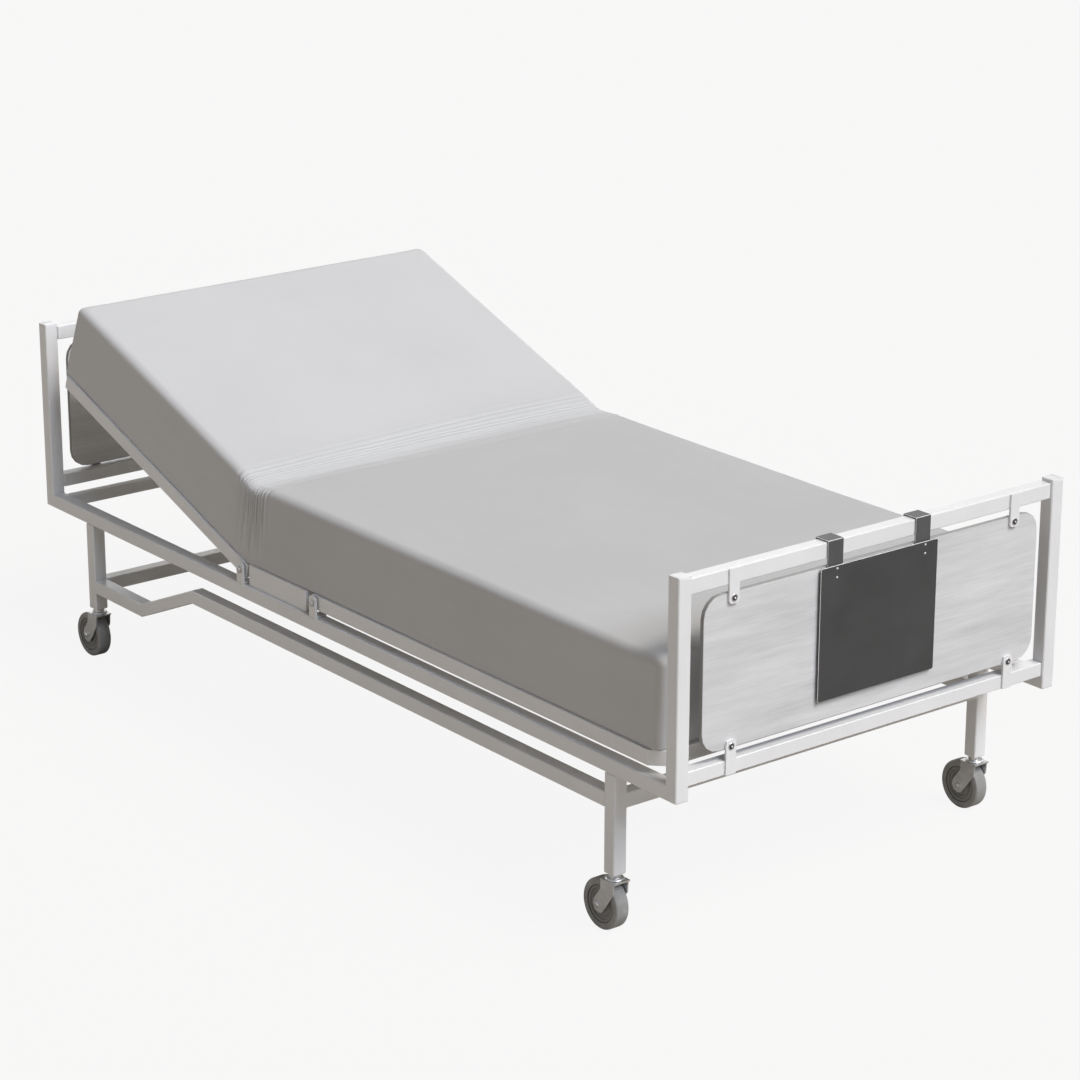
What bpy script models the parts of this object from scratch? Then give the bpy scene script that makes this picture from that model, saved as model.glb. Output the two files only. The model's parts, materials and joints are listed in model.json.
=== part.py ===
"""Adjustable hospital bed on four swivel casters.

A flat steel frame carries a fixed seat section in the middle, a backrest
that tilts about one hinge line and a leg section that tilts about another.
Metres, +Z up, the floor at Z = 0, +X toward the foot end.
"""

import math

import bpy
import bmesh
from mathutils import Vector

# ---------------------------------------------------------------- dimensions
GAP = 0.0003  # clearance between pieces that touch

TUBE = 0.030  # square tube of the whole frame
HALF_LENGTH = 1.1017  # to the outer faces of the corner posts
HALF_WIDTH = 0.480
TUBE_Y = HALF_WIDTH - TUBE / 2  # centre line of each side's tubes
RAIL_Z = 0.318  # underside of the main rails
RAIL_TOP = RAIL_Z + TUBE
POST_TOP = 0.741
POST_INNER = HALF_LENGTH - TUBE
BETWEEN = HALF_WIDTH - TUBE - GAP  # half length of anything between the sides

LEG_POS = 0.916  # legs' centres along X
LEG_BOTTOM = 0.118
LOW_HEAD_Z = 0.173  # lower rail's centre at the head end
LOW_FOOT_Z = 0.263  # and after the joggle

BAR_OUTER = 1.0977  # end bars' outer faces, set back from the posts
BAR_DEPTH = 0.028
STRAP = 0.004
STRAP_WIDTH = 0.0235
STRAP_Y = 0.351
PANEL_OUTER = 1.0969
PANEL_THICK = 0.0090
PANEL_HALF_Y = 0.418
PANEL_Z = (0.3945, 0.691)
PANEL_CORNER = 0.040
SCREW_R = 0.002

HINGE_Z = 0.3785
BACK_HINGE_X = -0.3035
LEG_HINGE_X = -0.0365
BACK_ANGLE = math.radians(19.44)  # backrest above level, as it rests
SECTION_HALF_Y = 0.4715  # outer face of the tilting sections' tubes
PIN_R = 0.005
PIN_DEPTH = 0.024

BACK_LENGTH = 0.782  # hinge to the backrest frame's end
BACK_CHAMFER = 0.0375
LEG_LENGTH = 1.078  # hinge to the leg frame's end
LEG_CHAMFER = 0.029

MATTRESS_HALF_Y = 0.470
MATTRESS_TOP = 0.1955  # above the hinge line
MATTRESS_BOTTOM = 0.0170
BACK_FOLD = math.radians(43.5)  # how far each mattress end leans at a hinge
SEAT_FOLD_BACK = math.radians(27.5)
SEAT_FOLD_LEG = math.radians(11.0)
LEG_FOLD = math.radians(15.0)

LEVER = 0.200  # hinge to actuator pivot, the same on frame and lever
BASE_PIVOT = math.radians(-40.0)  # frame pivot's direction from the hinge
LEVER_LOCAL_BACK = math.radians(-122.8)
LEVER_LOCAL_LEG = math.radians(-55.0)
ACTUATOR_Y = 0.060
CHEEK_IN, CHEEK_OUT = 0.020, 0.026

TRAIL = 0.025
AXLE_Z = 0.0503
WHEEL_R = 0.0503
WHEEL_HALF = 0.0148

WHITE_PAINT = ((0.74, 0.74, 0.76, 1), 0.38, 0.0)
GREY_FOAM = ((0.60, 0.60, 0.61, 1), 0.90, 0.0)
LAMINATE = ((0.66, 0.65, 0.63, 1), 0.45, 0.0)
DARK_BOARD = ((0.075, 0.075, 0.08, 1), 0.45, 0.0)
ZINC = ((0.70, 0.71, 0.72, 1), 0.28, 1.0)
RUBBER = ((0.25, 0.25, 0.26, 1), 0.75, 0.0)
GREY_PLASTIC = ((0.33, 0.34, 0.35, 1), 0.50, 0.0)

# --------------------------------------------------------------------- scene
for old in list(bpy.data.objects):
    bpy.data.objects.remove(old, do_unlink=True)

bed = bpy.data.collections.new("hospital_bed")
cutters = bpy.data.collections.new("cutters")
bpy.context.scene.collection.children.link(bed)
bpy.context.scene.collection.children.link(cutters)


def paint(obj, look):
    colour, roughness, metallic = look
    mat = bpy.data.materials.new(obj.name)
    mat.use_nodes = True
    shader = mat.node_tree.nodes["Principled BSDF"]
    shader.inputs["Base Color"].default_value = colour
    shader.inputs["Roughness"].default_value = roughness
    shader.inputs["Metallic"].default_value = metallic
    obj.data.materials.clear()
    obj.data.materials.append(mat)


def add(name, mesh, look=None, parent=None, location=(0, 0, 0), rotation=(0, 0, 0)):
    obj = bpy.data.objects.new(name, mesh)
    obj.location, obj.rotation_euler = location, rotation
    obj.parent = parent
    if look is None:
        cutters.objects.link(obj)
        obj.hide_render, obj.display_type = True, "WIRE"
    else:
        bed.objects.link(obj)
        paint(obj, look)
    return obj


def pivot(name, location, tilt=0.0, parent=None):
    empty = bpy.data.objects.new(name, None)
    empty.empty_display_size = 0.05
    empty.location, empty.rotation_euler = location, (0, tilt, 0)
    empty.parent = parent
    bed.objects.link(empty)
    return empty


def box(name, x, y, z, look=None, parent=None):
    """A box between the given pairs of limits, with its origin at its centre."""
    mesh = bpy.data.meshes.new(name)
    bm = bmesh.new()
    bmesh.ops.create_cube(bm, size=1.0)
    bmesh.ops.scale(bm, vec=(x[1] - x[0], y[1] - y[0], z[1] - z[0]), verts=bm.verts)
    bm.to_mesh(mesh)
    bm.free()
    centre = ((x[0] + x[1]) / 2, (y[0] + y[1]) / 2, (z[0] + z[1]) / 2)
    return add(name, mesh, look, parent, centre)


def rod(name, radius, start, end, look=None, parent=None, sides=12):
    """A cylinder between two points."""
    start, end = Vector(start), Vector(end)
    mesh = bpy.data.meshes.new(name)
    bm = bmesh.new()
    bmesh.ops.create_cone(
        bm, cap_ends=True, segments=sides, radius1=radius, radius2=radius,
        depth=(end - start).length,
    )
    bm.to_mesh(mesh)
    bm.free()
    mesh.shade_smooth()
    mesh.set_sharp_from_angle(angle=math.radians(40))
    turn = (end - start).to_track_quat("Z", "Y").to_euler()
    return add(name, mesh, look, parent, (start + end) / 2, turn)


PLANES = {"XY": (0, 0, 0), "XZ": (math.pi / 2, 0, 0), "YZ": (math.pi / 2, 0, math.pi / 2)}


def outline(name, loops, plane, centre, thickness, look=None, parent=None):
    """A flat outline, with any holes as further loops, given a thickness.

    centre is where the plate's middle lies along the axis across the plane.
    """
    curve = bpy.data.curves.new(name, "CURVE")
    curve.dimensions, curve.fill_mode = "2D", "BOTH"
    curve.extrude = thickness / 2
    for loop in loops:
        spline = curve.splines.new("POLY")
        spline.points.add(len(loop) - 1)
        for point, (u, v) in zip(spline.points, loop):
            point.co = (u, v, 0, 1)
        spline.use_cyclic_u = True
    drawn = bpy.data.objects.new(name + "_curve", curve)
    cutters.objects.link(drawn)
    bpy.context.view_layer.update()
    graph = bpy.context.evaluated_depsgraph_get()
    mesh = bpy.data.meshes.new_from_object(drawn.evaluated_get(graph))
    bpy.data.objects.remove(drawn, do_unlink=True)
    bm = bmesh.new()
    bm.from_mesh(mesh)
    bmesh.ops.remove_doubles(bm, verts=bm.verts, dist=1e-5)
    bmesh.ops.recalc_face_normals(bm, faces=bm.faces)
    if len(loops) == 1:
        bmesh.ops.dissolve_limit(
            bm, angle_limit=math.radians(0.5), verts=bm.verts, edges=bm.edges
        )
    bm.to_mesh(mesh)
    bm.free()
    mesh.name = name
    where = {"XY": (0, 0, centre), "XZ": (0, centre, 0), "YZ": (centre, 0, 0)}[plane]
    return add(name, mesh, look, parent, where, PLANES[plane])


def turned(name, profile, steps, look, parent=None, location=(0, 0, 0), rotation=(0, 0, 0), closed=False):
    """A profile of (radius, height) points turned about the object's Z axis."""
    mesh = bpy.data.meshes.new(name)
    bm = bmesh.new()
    verts = [bm.verts.new((r, 0, z)) for r, z in profile]
    for a, b in zip(verts, verts[1:]):
        bm.edges.new((a, b))
    if closed:
        bm.edges.new((verts[-1], verts[0]))
    bm.to_mesh(mesh)
    bm.free()
    obj = add(name, mesh, look, parent, location, rotation)
    screw = obj.modifiers.new("Turn", "SCREW")
    screw.axis, screw.angle = "Z", 2 * math.pi
    screw.steps = screw.render_steps = steps
    screw.use_merge_vertices, screw.merge_threshold = True, 0.00001
    screw.use_smooth_shade = True
    return obj


def rounded(u, v, radius, segments, corners=(1, 1, 1, 1)):
    """A rectangle's outline between limits u and v, with the chosen corners round."""
    points = []
    centres = [(u[1], v[1], 0), (u[0], v[1], 90), (u[0], v[0], 180), (u[1], v[0], 270)]
    for (cu, cv, start), on in zip(centres, corners):
        if not on:
            points.append((cu, cv))
            continue
        cu += -radius if start in (0, 270) else radius
        cv += -radius if start in (0, 90) else radius
        for i in range(segments + 1):
            a = math.radians(start + 90 * i / segments)
            points.append((cu + radius * math.cos(a), cv + radius * math.sin(a)))
    return points


def rect(u, v):
    return [(u[0], v[0]), (u[1], v[0]), (u[1], v[1]), (u[0], v[1])]


def join(obj, *others):
    for other in others:
        union = obj.modifiers.new("Join", "BOOLEAN")
        union.operation, union.object = "UNION", other


def cut(obj, *others):
    for other in others:
        hole = obj.modifiers.new("Cut", "BOOLEAN")
        hole.operation, hole.object = "DIFFERENCE", other


def ease(obj, width, segments=1, angle=50):
    bevel = obj.modifiers.new("Edges", "BEVEL")
    bevel.width, bevel.segments = width, segments
    bevel.limit_method, bevel.angle_limit = "ANGLE", math.radians(angle)
    return obj


# --------------------------------------------------------------- fixed frame
# Each side frame is a main rail with a post standing at either end.
side_loop = [
    (-HALF_LENGTH, POST_TOP), (-HALF_LENGTH, RAIL_Z), (HALF_LENGTH, RAIL_Z),
    (HALF_LENGTH, POST_TOP), (POST_INNER, POST_TOP), (POST_INNER, RAIL_TOP),
    (-POST_INNER, RAIL_TOP), (-POST_INNER, POST_TOP),
]
for side, sign in (("near", -1), ("far", 1)):
    ease(outline(f"side_frame_{side}", [side_loop], "XZ", sign * TUBE_Y, TUBE, WHITE_PAINT), 0.0018)

# Lower rails run between the legs and step up just before the backrest's middle.
low_x = LEG_POS - TUBE / 2 - GAP
lower_loop = [
    (-low_x, LOW_HEAD_Z - 0.015), (-0.7072, LOW_HEAD_Z - 0.015), (-0.4983, LOW_FOOT_Z - 0.015),
    (low_x, LOW_FOOT_Z - 0.015), (low_x, LOW_FOOT_Z + 0.015), (-0.4968, LOW_FOOT_Z + 0.015),
    (-0.7080, LOW_HEAD_Z + 0.015), (-low_x, LOW_HEAD_Z + 0.015),
]
for side, sign in (("near", -1), ("far", 1)):
    ease(outline(f"lower_rail_{side}", [lower_loop], "XZ", sign * TUBE_Y, TUBE, WHITE_PAINT), 0.0018)

# Each leg frame is two legs with a cross tube between them.
for end, sign, cross in (("head", -1, LOW_HEAD_Z), ("foot", 1, LOW_FOOT_Z)):
    o, i, top = HALF_WIDTH, HALF_WIDTH - TUBE, RAIL_Z - GAP
    lo, hi = cross - TUBE / 2, cross + TUBE / 2
    loop = [
        (-o, top), (-o, LEG_BOTTOM), (-i, LEG_BOTTOM), (-i, lo), (i, lo), (i, LEG_BOTTOM),
        (o, LEG_BOTTOM), (o, top), (i, top), (i, hi), (-i, hi), (-i, top),
    ]
    ease(outline(f"{end}_leg_frame", [loop], "YZ", sign * LEG_POS, TUBE, WHITE_PAINT), 0.0018)

head_cross = box("head_cross_tube", (-1.062, -1.037), (-BETWEEN, BETWEEN), (0.323, 0.348), WHITE_PAINT)
ease(head_cross, 0.0018)
seat_beam = box("seat_beam", (-0.200, -0.140), (-BETWEEN, BETWEEN), (RAIL_Z, RAIL_TOP), WHITE_PAINT)
ease(seat_beam, 0.0018)

# The seat section is a folded sheet, open underneath, standing on the rails.
seat_mesh = bpy.data.meshes.new("seat_platform")
bm = bmesh.new()
bmesh.ops.create_cube(bm, size=1.0)
bmesh.ops.scale(bm, vec=(0.209, 0.944, 0.0447), verts=bm.verts)
bmesh.ops.delete(bm, geom=[f for f in bm.faces if f.normal.z < -0.5], context="FACES")
bm.to_mesh(seat_mesh)
bm.free()
seat = add("seat_platform", seat_mesh, WHITE_PAINT, None, (-0.1765, 0, 0.37065))
fold = seat.modifiers.new("Sheet", "SOLIDIFY")
fold.thickness, fold.offset = 0.003, -1

# ------------------------------------------------- end bars, panels, screws
screws = []
for end, sign in (("head", -1), ("foot", 1)):
    mid = sign * (BAR_OUTER - BAR_DEPTH / 2)
    bar_x = (mid - BAR_DEPTH / 2, mid + BAR_DEPTH / 2)
    strap_x = sign * (BAR_OUTER + STRAP / 2 - 0.00025)
    bottom = (0.362, 0.391) if end == "head" else (0.3445, 0.3725)
    low_screw = 0.4105 if end == "head" else 0.399
    tops = {"top": (0.706, 0.7365), "bottom": bottom}
    spans = {"top": (0.6705, 0.7358), "bottom": (bottom[0] + 0.0005, low_screw + 0.0125)}
    heights = {"top": 0.681, "bottom": low_screw}
    for level in ("top", "bottom"):
        bar = box(f"{end}_{level}_bar", bar_x, (-BETWEEN, BETWEEN), tops[level], WHITE_PAINT)
        ease(bar, 0.0015)
        for hand, y in (("near", -STRAP_Y), ("far", STRAP_Y)):
            ends = (0, 0, 1, 1) if level == "top" else (1, 1, 0, 0)
            loop = rounded((y - STRAP_WIDTH / 2, y + STRAP_WIDTH / 2), spans[level], 0.007, 2, ends)
            strap = outline(f"{end}_{level}_strap_{hand}", [loop], "YZ", strap_x, STRAP + 0.0005)
            join(bar, strap)
            z = heights[level]
            drill = rod(
                f"{end}_{level}_drill_{hand}", SCREW_R + 0.0003,
                (sign * (BAR_OUTER - 0.0085), y, z), (sign * (BAR_OUTER + 0.01), y, z), sides=8,
            )
            cut(bar, drill)
            screws.append((f"screw_{end}_{level}_{hand}", sign, y, z, drill))

panels = {}
for end, sign in (("head", -1), ("foot", 1)):
    loop = rounded((-PANEL_HALF_Y, PANEL_HALF_Y), PANEL_Z, PANEL_CORNER, 4)
    centre = sign * (PANEL_OUTER - PANEL_THICK / 2)
    panels[sign] = outline(f"{end}_panel", [loop], "YZ", centre, PANEL_THICK, LAMINATE)

for name, sign, y, z, drill in screws:
    cut(panels[sign], drill)
    face = BAR_OUTER + STRAP + GAP
    turned(
        name,
        [(0, 0.0018), (0.0030, 0.0016), (0.0052, 0.0004), (0.0052, 0), (SCREW_R, 0), (SCREW_R, -0.0115), (0, -0.0115)],
        8, ZINC, None, (sign * face, y, z), (0, sign * math.pi / 2, 0),
    )

# ------------------------------------------------------- hinge lines' brackets
for section, x in (("back", BACK_HINGE_X), ("leg", LEG_HINGE_X)):
    for side, sign in (("near", -1), ("far", 1)):
        loop = rounded((x - 0.012, x + 0.012), (RAIL_TOP + GAP, 0.3945), 0.009, 3, (1, 1, 0, 0))
        bracket = outline(f"{section}_bracket_{side}", [loop], "XZ", sign * 0.478, 0.004, WHITE_PAINT)
        ys = sorted((sign * 0.4765, sign * 0.453))
        flange = box(f"{section}_flange_{side}", (x - 0.0115, x + 0.0115), ys, (RAIL_TOP + 0.0008, RAIL_TOP + 0.0045))
        hole = rod(f"{section}_bolt_hole_{side}", 0.0043, (x, sign * 0.47, HINGE_Z), (x, sign * 0.49, HINGE_Z))
        join(bracket, flange)
        cut(bracket, hole)
        # Shouldered bolt: head outside, collar in the gap, pin in the section's tube.
        turned(
            f"{section}_bolt_{side}",
            [(0, 0.0046), (0.0055, 0.0046), (0.0072, 0.0032), (0.0072, 0.0003), (0.0040, 0.0003), (0.0040, -0.0043),
             (0.0075, -0.0043), (0.0075, -0.0082), (PIN_R, -0.0082), (PIN_R, -0.0310), (0, -0.0310)],
            12, ZINC, None, (x, sign * HALF_WIDTH, HINGE_Z), (-sign * math.pi / 2, 0, 0),
        )

# ------------------------------------------------------------ tilting sections
back = pivot("backrest_hinge", (BACK_HINGE_X, 0, HINGE_Z), BACK_ANGLE)
leg = pivot("leg_section_hinge", (LEG_HINGE_X, 0, HINGE_Z))


def ladder(name, sign, start, length, chamfer, cross, parent):
    """A tube frame lying along sign*X, with cross tubes and cut corners at its end."""
    w, t = SECTION_HALF_Y, TUBE
    inner = chamfer - t * (2 - math.sqrt(2)) * 0.5
    outer = [(start, -w), (length - chamfer, -w), (length, -w + chamfer),
             (length, w - chamfer), (length - chamfer, w), (start, w)]
    loops = [outer]
    edge = start + t
    for c in cross:
        loops.append(rect((edge, c - t / 2), (-w + t, w - t)))
        edge = c + t / 2
    end, k = length - t, inner
    loops.append([(edge, -w + t), (end - k, -w + t), (end, -w + t + k), (end, w - t - k), (end - k, w - t), (edge, w - t)])
    loops = [[(sign * u, v) for u, v in loop] for loop in loops]
    frame = outline(name, loops[:1], "XY", 0, t, WHITE_PAINT, parent)
    for number, window in enumerate(loops[1:]):
        cut(frame, outline(f"{name}_window_{number}", [window], "XY", 0, t + 0.02, None, parent))
    for side, s in (("near", -1), ("far", 1)):
        bore = rod(f"{name}_bore_{side}", PIN_R + 0.0003, (0, s * (w - PIN_DEPTH), 0), (0, s * (w + 0.01), 0), None, parent)
        cut(frame, bore)
    return frame


ladder("backrest_frame", -1, -0.0135, BACK_LENGTH, BACK_CHAMFER, (0.385,), back)
ladder("leg_frame", 1, -0.0120, LEG_LENGTH, LEG_CHAMFER, (0.395, 0.790), leg)


def deck(name, sign, start, end, columns, rows, parent):
    """A thin sheet lying on a section's tubes, with long air slots."""
    half = 0.452
    loops = [[(sign * u, v) for u, v in rounded((start, end), (-half, half), 0.012, 1)]]
    pitch_u, pitch_v = (end - start) / columns, 2 * half / rows
    for i in range(columns):
        for j in range(rows):
            u, v = start + (i + 0.5) * pitch_u, -half + (j + 0.5) * pitch_v
            if abs(abs(v)) > 0.43:
                continue
            hole = rect((u - pitch_u * 0.36, u + pitch_u * 0.36), (v - 0.016, v + 0.016))
            loops.append([(sign * a, b) for a, b in hole])
    outline(name, loops, "XY", TUBE / 2 + GAP + 0.0006, 0.0012, WHITE_PAINT, parent)


deck("backrest_deck", -1, -0.008, BACK_LENGTH - 0.030, 2, 5, back)
deck("leg_deck", 1, -0.006, LEG_LENGTH - 0.030, 3, 5, leg)


def fork(name, pivot_at, direction, length, look, parent, y, width=0.028, web=0.006):
    """A fork with a pin across its tips, its root at length from the pin, back along direction."""
    ux, uz = math.cos(direction), math.sin(direction)
    root = (pivot_at[0] - ux * length, pivot_at[1] - uz * length)
    turn = -(direction - math.pi / 2)  # local +Z along direction
    o, i, tip = CHEEK_OUT, CHEEK_IN, length + 0.013
    loop = [(-o, 0), (o, 0), (o, tip), (i, tip), (i, web), (-i, web), (-i, tip), (-o, tip)]
    holder = pivot(name + "_axis", (pivot_at[0], y, pivot_at[1]), turn, parent)
    body = outline(name, [[(u, v - length) for u, v in loop]], "YZ", 0, width, look, holder)
    ease(body, 0.0015)
    pin = rod(name + "_pin", PIN_R, (0, -i - 0.003, 0), (0, i + 0.003, 0), None, holder)
    join(body, pin)
    return root


def place(origin, direction, distance):
    return (origin[0] + distance * math.cos(direction), origin[1] + distance * math.sin(direction))


# Frame pivots hang below the seat beam; lever pivots are the same distance from each hinge.
base_back = place((BACK_HINGE_X, HINGE_Z), BASE_PIVOT, LEVER)
base_leg = place((LEG_HINGE_X, HINGE_Z), math.pi - BASE_PIVOT, LEVER)
drop_back = RAIL_Z - GAP - base_back[1]
drop_leg = RAIL_Z - GAP - base_leg[1]
fork("backrest_mount", base_back, -math.pi / 2, drop_back, WHITE_PAINT, None, -ACTUATOR_Y)
fork("leg_mount", base_leg, -math.pi / 2, drop_leg, WHITE_PAINT, None, ACTUATOR_Y)

# The levers stand on the hinge-side cross tubes, so their roots are cut to that tube.
lever_back = place((0, 0), LEVER_LOCAL_BACK, LEVER)
lever_leg = place((0, 0), LEVER_LOCAL_LEG, LEVER)


def lever(name, tip, direction, parent, y, x_limits):
    fork(name, tip, direction, LEVER, WHITE_PAINT, parent, y, 0.024, 0.030)
    body = bpy.data.objects[name]
    room = box(name + "_room", (x_limits[0] - GAP, x_limits[1] + GAP), (y - 0.04, y + 0.04), (-TUBE / 2 - GAP, 0.040), None, parent)
    cut(body, room)


lever("backrest_lever", lever_back, LEVER_LOCAL_BACK, back, -ACTUATOR_Y, (-0.040, 0.040))
lever("leg_lever", lever_leg, LEVER_LOCAL_LEG, leg, ACTUATOR_Y, (-0.040, 0.040))


def actuator(name, base, tip, y):
    """A motor housing with its tube on the frame pivot, and the rod on the lever pivot."""
    dx, dz = tip[0] - base[0], tip[1] - base[1]
    reach = math.hypot(dx, dz)
    tilt = math.atan2(dx, dz)  # local +Z from base to tip
    at_base = pivot(name + "_base_pivot", (base[0], y, base[1]), tilt)
    at_tip = pivot(name + "_tip_pivot", (tip[0], y, tip[1]), tilt)
    half = CHEEK_IN - GAP - 0.0002

    tube = box(name + "_tube", (-0.022, 0.022), (-half, half), (0.019, 0.088), GREY_PLASTIC, at_base)
    ease(tube, 0.004)
    eye = rod(name + "_base_eye", 0.0125, (0, -half, 0), (0, half, 0), None, at_base, 16)
    neck = box(name + "_neck", (-0.008, 0.008), (-0.016, 0.016), (0.004, 0.023), None, at_base)
    barrel = rod(name + "_barrel", 0.016, (0, 0, 0.080), (0, 0, 0.218), None, at_base, 16)
    bore = rod(name + "_bore", 0.0100, (0, 0, 0.074), (0, 0, 0.230), None, at_base, 16)
    eye_bore = rod(name + "_eye_bore", PIN_R + GAP, (0, -0.03, 0), (0, 0.03, 0), None, at_base)
    join(tube, neck, eye, barrel)
    cut(tube, bore, eye_bore)

    ram = rod(name + "_rod", 0.0092, (0, 0, -0.190), (0, 0, -0.008), ZINC, at_tip, 16)
    ram.location, ram.rotation_euler = (0, 0, 0), (0, 0, 0)
    for v in ram.data.vertices:
        v.co.z -= 0.099
    rod_eye = rod(name + "_rod_eye", 0.0125, (0, -half, 0), (0, half, 0), None, at_tip, 16)
    rod_bore = rod(name + "_rod_bore", PIN_R + GAP, (0, -0.03, 0), (0, 0.03, 0), None, at_tip)
    join(ram, rod_eye)
    cut(ram, rod_bore)
    return reach


rest_back = LEVER_LOCAL_BACK - BACK_ANGLE
tip_back = place((BACK_HINGE_X, HINGE_Z), rest_back, LEVER)
tip_leg = place((LEG_HINGE_X, HINGE_Z), LEVER_LOCAL_LEG, LEVER)
actuator("backrest_actuator", base_back, tip_back, -ACTUATOR_Y)
actuator("leg_actuator", base_leg, tip_leg, ACTUATOR_Y)

control = box("control_box", (-0.235, -0.105), (0.170, 0.350), (0.262, RAIL_Z - GAP), GREY_PLASTIC)
ease(control, 0.006, 2)

# ----------------------------------------------------------------- mattress


def foam(name, side, parent=None, corner_x=None, corner=0.045, crown=0.028):
    """A slab from a side outline, its top edges and end corners rounded."""
    slab = outline(name, [side], "XZ", 0, 2 * MATTRESS_HALF_Y, GREY_FOAM, parent)
    bm = bmesh.new()
    bm.from_mesh(slab.data)
    if corner_x is not None:
        posts = [
            e for e in bm.edges
            if all(abs(v.co.x - corner_x) < 0.035 for v in e.verts) and abs(e.verts[0].co.y - e.verts[1].co.y) > 0.05
            and abs(e.verts[0].co.z - e.verts[1].co.z) < 1e-5
        ]
        bmesh.ops.bevel(bm, geom=posts, offset=corner, segments=3, profile=0.5, affect="EDGES", clamp_overlap=True)
    top = max(v.co.y for v in bm.verts)
    rim = [
        e for e in bm.edges
        if all(abs(v.co.y - top) < 1e-4 for v in e.verts) and len(e.link_faces) == 2
        and min(f.normal.y for f in e.link_faces) < 0.9
        and not all(abs(v.co.z) < MATTRESS_HALF_Y - 0.07 for v in e.verts)
        and (abs(e.verts[0].co.z - e.verts[1].co.z) < 2 * MATTRESS_HALF_Y - 0.1 or corner_x is not None)
    ]
    rim = [e for e in rim if not (abs(e.verts[0].co.x - e.verts[1].co.x) < 1e-5
                                  and (corner_x is None or abs(e.verts[0].co.x - corner_x) > 0.05))]
    bmesh.ops.bevel(bm, geom=rim, offset=crown, segments=3, profile=0.5, affect="EDGES", clamp_overlap=True)
    bmesh.ops.recalc_face_normals(bm, faces=bm.faces)
    bm.to_mesh(slab.data)
    bm.free()
    return slab


z0, z1 = MATTRESS_BOTTOM, MATTRESS_TOP
tb, ts, tl, tg = (math.tan(a) for a in (BACK_FOLD, SEAT_FOLD_BACK, SEAT_FOLD_LEG, LEG_FOLD))
foam("mattress_back",
     [(-z0 * tb - 0.001, z0), (-z1 * tb - 0.001, z1), (-0.757, z1), (-0.7795, z0)], back, -0.770)
foam("mattress_seat",
     [(BACK_HINGE_X + 0.0135, HINGE_Z + z0), (LEG_HINGE_X - z0 * tl - 0.001, HINGE_Z + z0),
      (LEG_HINGE_X - z1 * tl - 0.001, HINGE_Z + z1), (BACK_HINGE_X + (z1 - z0) * ts + 0.0135, HINGE_Z + z1)])
foam("mattress_leg",
     [(z0 * tg + 0.001, z0), (1.0715, z0), (1.0785, z1), (z1 * tg + 0.001, z1)], leg, 1.075, 0.030)

# ------------------------------------------------------------------- casters
for end, ex in (("head", -1), ("foot", 1)):
    for side, ey in (("near", -1), ("far", 1)):
        tag = f"{end}_{side}"
        stem = pivot(f"swivel_{tag}", (ex * LEG_POS, ey * TUBE_Y, 0))
        # Crown plate under the leg, two cheeks leaning back to the axle.
        crown = box(f"caster_fork_{tag}", (-0.0205, 0.0215), (-0.0188, 0.0188), (0.1035, 0.1065), ZINC, stem)
        neck = rod(f"neck_{tag}", 0.012, (0, 0, 0.105), (0, 0, LEG_BOTTOM - GAP), None, stem, 16)
        cheek_loop = [(-0.0195, 0.1060), (-0.0203, 0.0840)]
        cheek_loop += [
            (-TRAIL + 0.0165 * math.cos(math.radians(a)), AXLE_Z + 0.0165 * math.sin(math.radians(a)))
            for a in (152, 190, 228, 266, 300, 330)
        ]
        cheek_loop += [(0.0165, 0.0810), (0.0185, 0.1060)]
        joined = [neck]
        for hand, s in (("l", -1), ("r", 1)):
            joined.append(outline(f"cheek_{hand}_{tag}", [cheek_loop], "XZ", s * 0.0170, 0.0025, None, stem))
        joined.append(rod(f"axle_{tag}", 0.004, (-TRAIL, -0.0210, AXLE_Z), (-TRAIL, 0.0210, AXLE_Z), None, stem, 10))
        for hand, s in (("l", -1), ("r", 1)):
            joined.append(rod(f"nut_{hand}_{tag}", 0.0068, (-TRAIL, s * 0.0178, AXLE_Z), (-TRAIL, s * 0.0218, AXLE_Z), None, stem, 6))
        join(crown, *joined)
        b, r, h = 0.0043, WHEEL_R, WHEEL_HALF
        turned(
            f"caster_wheel_{tag}",
            [(b, h + 0.0006), (0.012, h + 0.0006), (0.0135, h - 0.003), (0.036, h - 0.004), (0.0385, h - 0.0005),
             (r - 0.0025, h), (r, h - 0.0025), (r, -h + 0.0025), (r - 0.0025, -h), (0.0385, -h + 0.0005),
             (0.036, -h + 0.004), (0.0135, -h + 0.003), (0.012, -h - 0.0006), (b, -h - 0.0006)],
            24, RUBBER, stem, (-TRAIL, 0, AXLE_Z), (math.pi / 2, 0, 0), True,
        )

# --------------------------------------------------------------- chart board
lift = pivot("chart_board_slide", (BAR_OUTER, 0, 0.7368))
board_loop = rounded((-0.1465, 0.1465), (0.433 - 0.7368, 0.691 - 0.7368), 0.003, 1)
outline("chart_board", [board_loop], "YZ", 0.0051, 0.003, DARK_BOARD, lift)
for hand, y in (("near", -0.109), ("far", 0.110)):
    hook_loop = [
        (-0.0313, -0.025), (-0.0283, -0.025), (-0.0283, 0), (0.0003, 0), (0.0003, -0.085),
        (0.0033, -0.085), (0.0033, 0.003), (-0.0313, 0.003),
    ]
    outline(f"chart_hook_{hand}", [hook_loop], "XZ", y, 0.038, DARK_BOARD, lift)
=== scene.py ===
"""An adjustable care bed: casters, end panels, a jointed deck with motors, and a mattress.

Metres, Z up, the floor at Z = 0. The bed lies along X with its head at -X and its
foot at +X. The near side is -Y and the far side +Y.
"""
import json
import math

import bpy
import bmesh
import numpy as np
from mathutils import Matrix, Vector
from mathutils.kdtree import KDTree

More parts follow.
